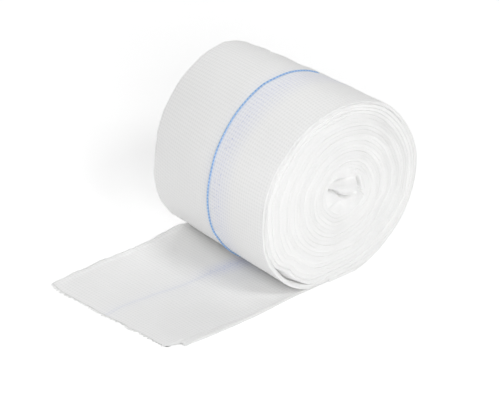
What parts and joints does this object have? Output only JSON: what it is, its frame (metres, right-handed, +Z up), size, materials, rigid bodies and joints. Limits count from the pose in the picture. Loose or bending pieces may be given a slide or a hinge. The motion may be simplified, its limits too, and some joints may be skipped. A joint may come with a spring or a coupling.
{
  "type": "roll of packing gauze",
  "caption": "Soft roll of white open-weave gauze lying on its side, wound from a narrow folded strip, with its free end lying out flat in front.",
  "frame": {"origin": "on the surface under the roll's axis, halfway along the roll, in the roll's small flat spot", "axes": "+X along the roll's axis toward the end face that shows; +Y away from the free end, which lies out toward -Y; +Z up from the surface"},
  "size_m": [0.052, 0.091, 0.0566],
  "materials": {
    "gauze_roll": "soft white open-weave cotton gauze, matt, with one blue yarn along the middle",
    "loose_end": "soft white open-weave cotton gauze, matt, the blue yarn showing faintly through the plies"
  },
  "bodies": {
    "root": {"gauze_roll": "gauze_roll", "loose_end": "loose_end"}
  },
  "joints": []
}
